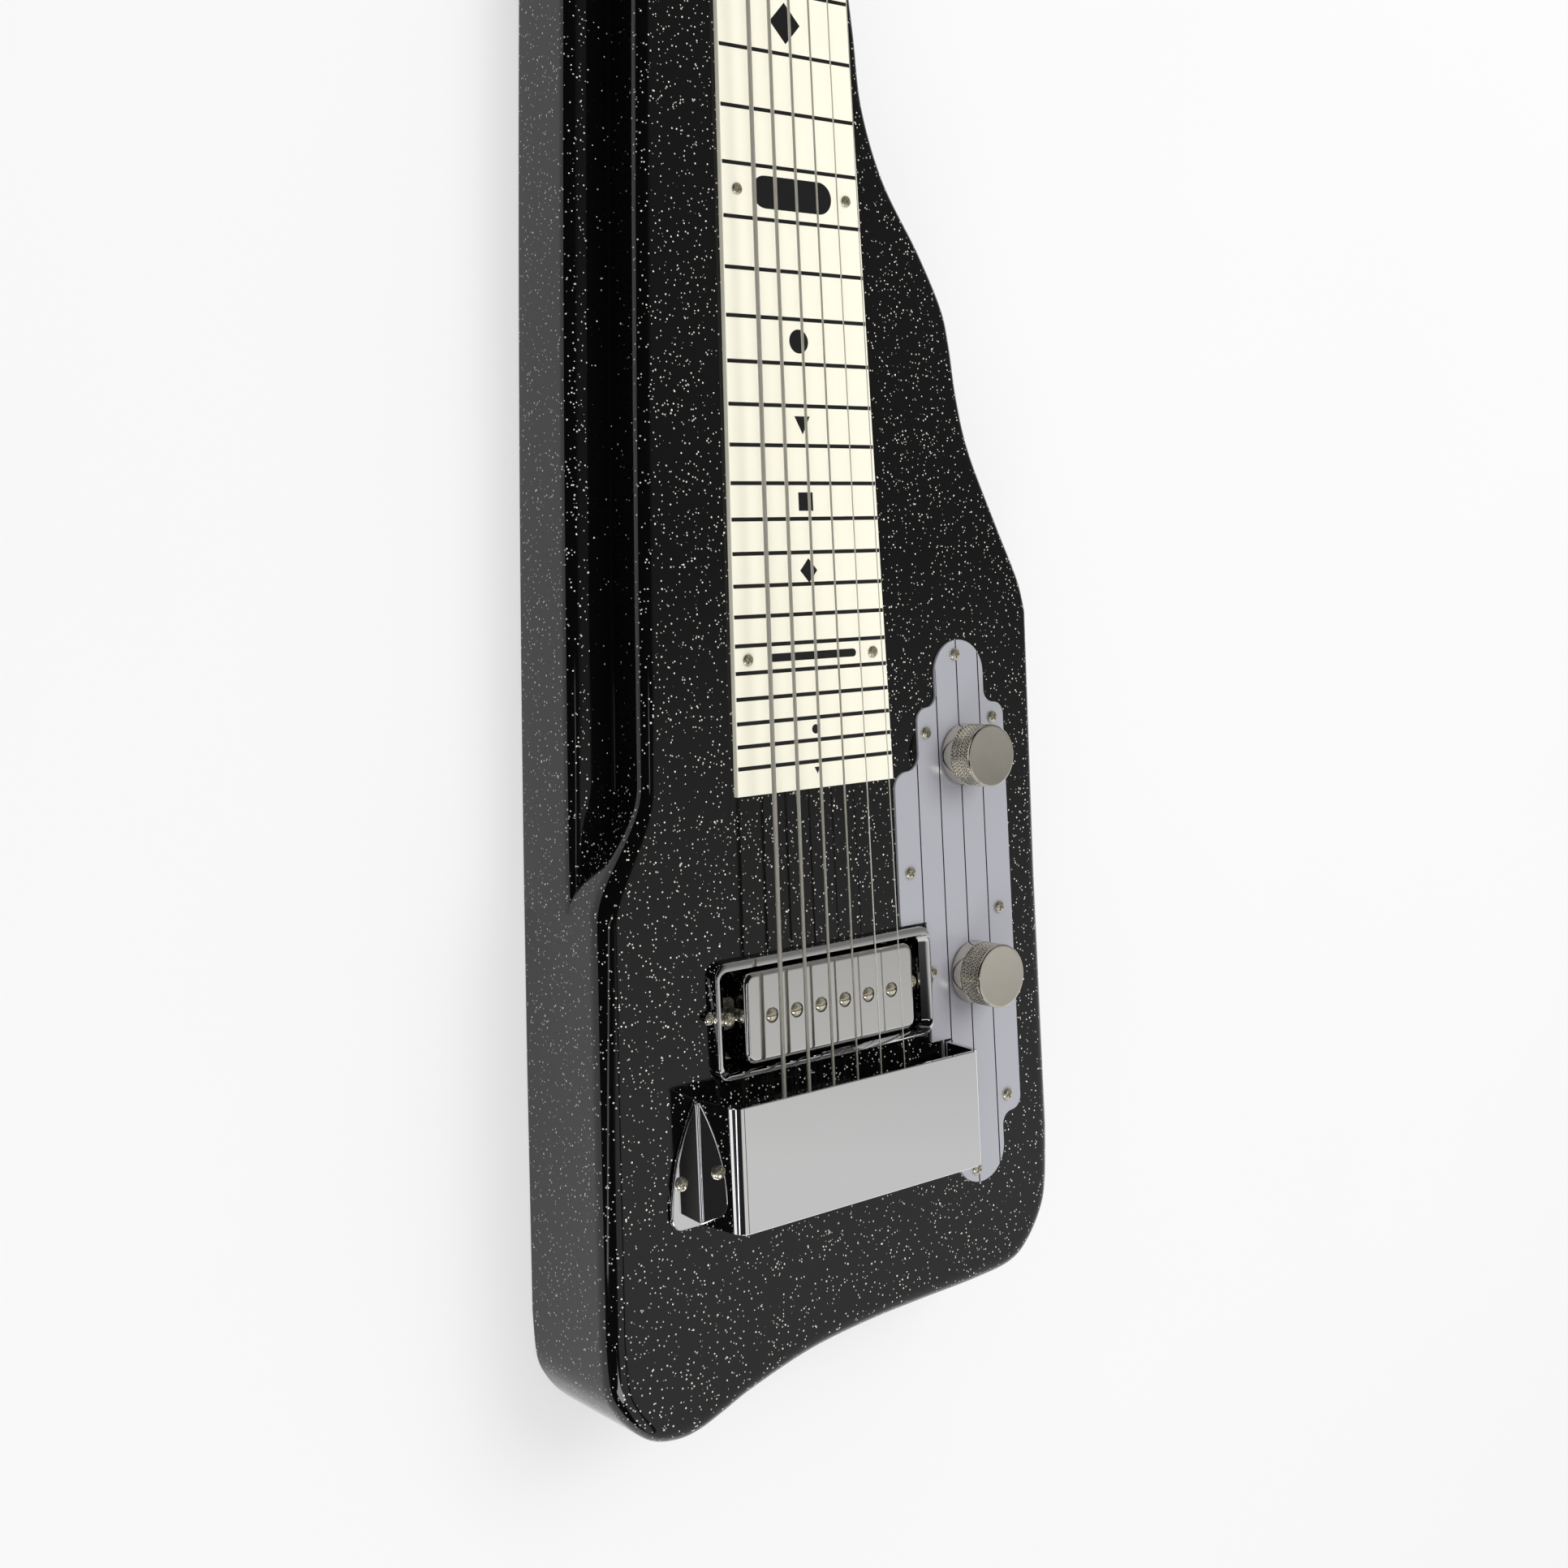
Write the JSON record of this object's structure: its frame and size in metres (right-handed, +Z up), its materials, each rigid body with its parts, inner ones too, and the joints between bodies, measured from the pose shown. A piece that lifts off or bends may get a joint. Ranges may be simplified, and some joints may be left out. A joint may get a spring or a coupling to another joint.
{
  "type": "lap steel guitar",
  "caption": "Solid-body electric lap steel guitar with a cream fretboard, one pickup under a ring, chrome hand rest, two knobs and open geared tuners.",
  "frame": {"origin": "on the flat back, under the middle of the strings, halfway along the scale", "axes": "+X to the treble side, +Y to the headstock, +Z up from the back to the strings"},
  "size_m": [0.1907, 0.8092, 0.0631],
  "materials": {
    "black_lacquer": "black gloss lacquer with fine silver flake",
    "board_cream": "smooth cream sheet with printed black lines and markers",
    "nut_cream": "smooth",
    "satin_plate": "satin silver with dark pinstripes",
    "chrome": "polished chrome",
    "satin_chrome": "polished chrome with a fine haze",
    "nickel": "polished nickel",
    "steel": "plain steel",
    "string_steel": "plain and wound strings",
    "capacitor_brown": "dipped"
  },
  "bodies": {
    "instrument": {"body": "black_lacquer", "fretboard": "board_cream", "nut": "nut_cream", "control_plate": "satin_plate", "pickup_ring": "chrome", "pickup_cover": "satin_chrome", "pickup_core": "steel", "height_screw_1": "nickel", "height_screw_2": "nickel", "bridge": "chrome", "bridge_cover": "chrome", "volume_pot": "steel", "volume_pot_nut": "nickel", "tone_pot": "steel", "tone_pot_nut": "nickel", "tone_capacitor": "capacitor_brown", "output_jack": "nickel", "jack_nut": "nickel", "tuner_strip_treble": "nickel", "tuner_strip_bass": "nickel", "post_bushing_1": "nickel", "string_1": "string_steel", "post_bushing_2": "nickel", "string_2": "string_steel", "post_bushing_3": "nickel", "string_3": "string_steel", "post_bushing_4": "nickel", "string_4": "string_steel", "post_bushing_5": "nickel", "string_5": "string_steel", "post_bushing_6": "nickel", "string_6": "string_steel"},
    "volume_control": {"volume_knob": "nickel", "volume_shaft": "steel"},
    "tone_control": {"tone_knob": "nickel", "tone_shaft": "steel"},
    "worm_1": {"tuner_worm_1": "steel", "tuner_button_1": "nickel"},
    "post_1": {"tuner_post_1": "nickel"},
    "worm_2": {"tuner_worm_2": "steel", "tuner_button_2": "nickel"},
    "post_2": {"tuner_post_2": "nickel"},
    "worm_3": {"tuner_worm_3": "steel", "tuner_button_3": "nickel"},
    "post_3": {"tuner_post_3": "nickel"},
    "worm_4": {"tuner_worm_4": "steel", "tuner_button_4": "nickel"},
    "post_4": {"tuner_post_4": "nickel"},
    "worm_5": {"tuner_worm_5": "steel", "tuner_button_5": "nickel"},
    "post_5": {"tuner_post_5": "nickel"},
    "worm_6": {"tuner_worm_6": "steel", "tuner_button_6": "nickel"},
    "post_6": {"tuner_post_6": "nickel"}
  },
  "joints": [
    {"name": "volume_turn", "type": "hinge", "parent": "instrument", "child": "volume_control", "pos_m": [0.0646, -0.24925, 0.0455], "axis": [0, 0, 1], "range_deg": [-150, 150]},
    {"name": "tone_turn", "type": "hinge", "parent": "instrument", "child": "tone_control", "pos_m": [0.0646, -0.17575, 0.0455], "axis": [0, 0, 1], "range_deg": [-150, 150]},
    {"name": "tuner_1_turn", "type": "hinge", "parent": "instrument", "child": "worm_1", "pos_m": [0.027, 0.33325, 0.01115], "axis": [1, 0, 0], "continuous": true},
    {"name": "post_1_turn", "type": "hinge", "parent": "instrument", "child": "post_1", "pos_m": [0.027, 0.32575, 0.01115], "axis": [0, 0, 1], "continuous": true},
    {"name": "tuner_2_turn", "type": "hinge", "parent": "instrument", "child": "worm_2", "pos_m": [0.027, 0.37125, 0.01115], "axis": [1, 0, 0], "continuous": true},
    {"name": "post_2_turn", "type": "hinge", "parent": "instrument", "child": "post_2", "pos_m": [0.027, 0.36375, 0.01115], "axis": [0, 0, 1], "continuous": true},
    {"name": "tuner_3_turn", "type": "hinge", "parent": "instrument", "child": "worm_3", "pos_m": [0.027, 0.40925, 0.01115], "axis": [1, 0, 0], "continuous": true},
    {"name": "post_3_turn", "type": "hinge", "parent": "instrument", "child": "post_3", "pos_m": [0.027, 0.40175, 0.01115], "axis": [0, 0, 1], "continuous": true},
    {"name": "tuner_4_turn", "type": "hinge", "parent": "instrument", "child": "worm_4", "pos_m": [-0.027, 0.40925, 0.01115], "axis": [1, 0, 0], "continuous": true},
    {"name": "post_4_turn", "type": "hinge", "parent": "instrument", "child": "post_4", "pos_m": [-0.027, 0.40175, 0.01115], "axis": [0, 0, 1], "continuous": true},
    {"name": "tuner_5_turn", "type": "hinge", "parent": "instrument", "child": "worm_5", "pos_m": [-0.027, 0.37125, 0.01115], "axis": [1, 0, 0], "continuous": true},
    {"name": "post_5_turn", "type": "hinge", "parent": "instrument", "child": "post_5", "pos_m": [-0.027, 0.36375, 0.01115], "axis": [0, 0, 1], "continuous": true},
    {"name": "tuner_6_turn", "type": "hinge", "parent": "instrument", "child": "worm_6", "pos_m": [-0.027, 0.33325, 0.01115], "axis": [1, 0, 0], "continuous": true},
    {"name": "post_6_turn", "type": "hinge", "parent": "instrument", "child": "post_6", "pos_m": [-0.027, 0.32575, 0.01115], "axis": [0, 0, 1], "continuous": true}
  ],
  "couplings": [
    {"joint": "post_1_turn", "follows": "tuner_1_turn", "ratio": 0.071429},
    {"joint": "post_2_turn", "follows": "tuner_2_turn", "ratio": 0.071429},
    {"joint": "post_3_turn", "follows": "tuner_3_turn", "ratio": 0.071429},
    {"joint": "post_4_turn", "follows": "tuner_4_turn", "ratio": 0.071429},
    {"joint": "post_5_turn", "follows": "tuner_5_turn", "ratio": 0.071429},
    {"joint": "post_6_turn", "follows": "tuner_6_turn", "ratio": 0.071429}
  ]
}
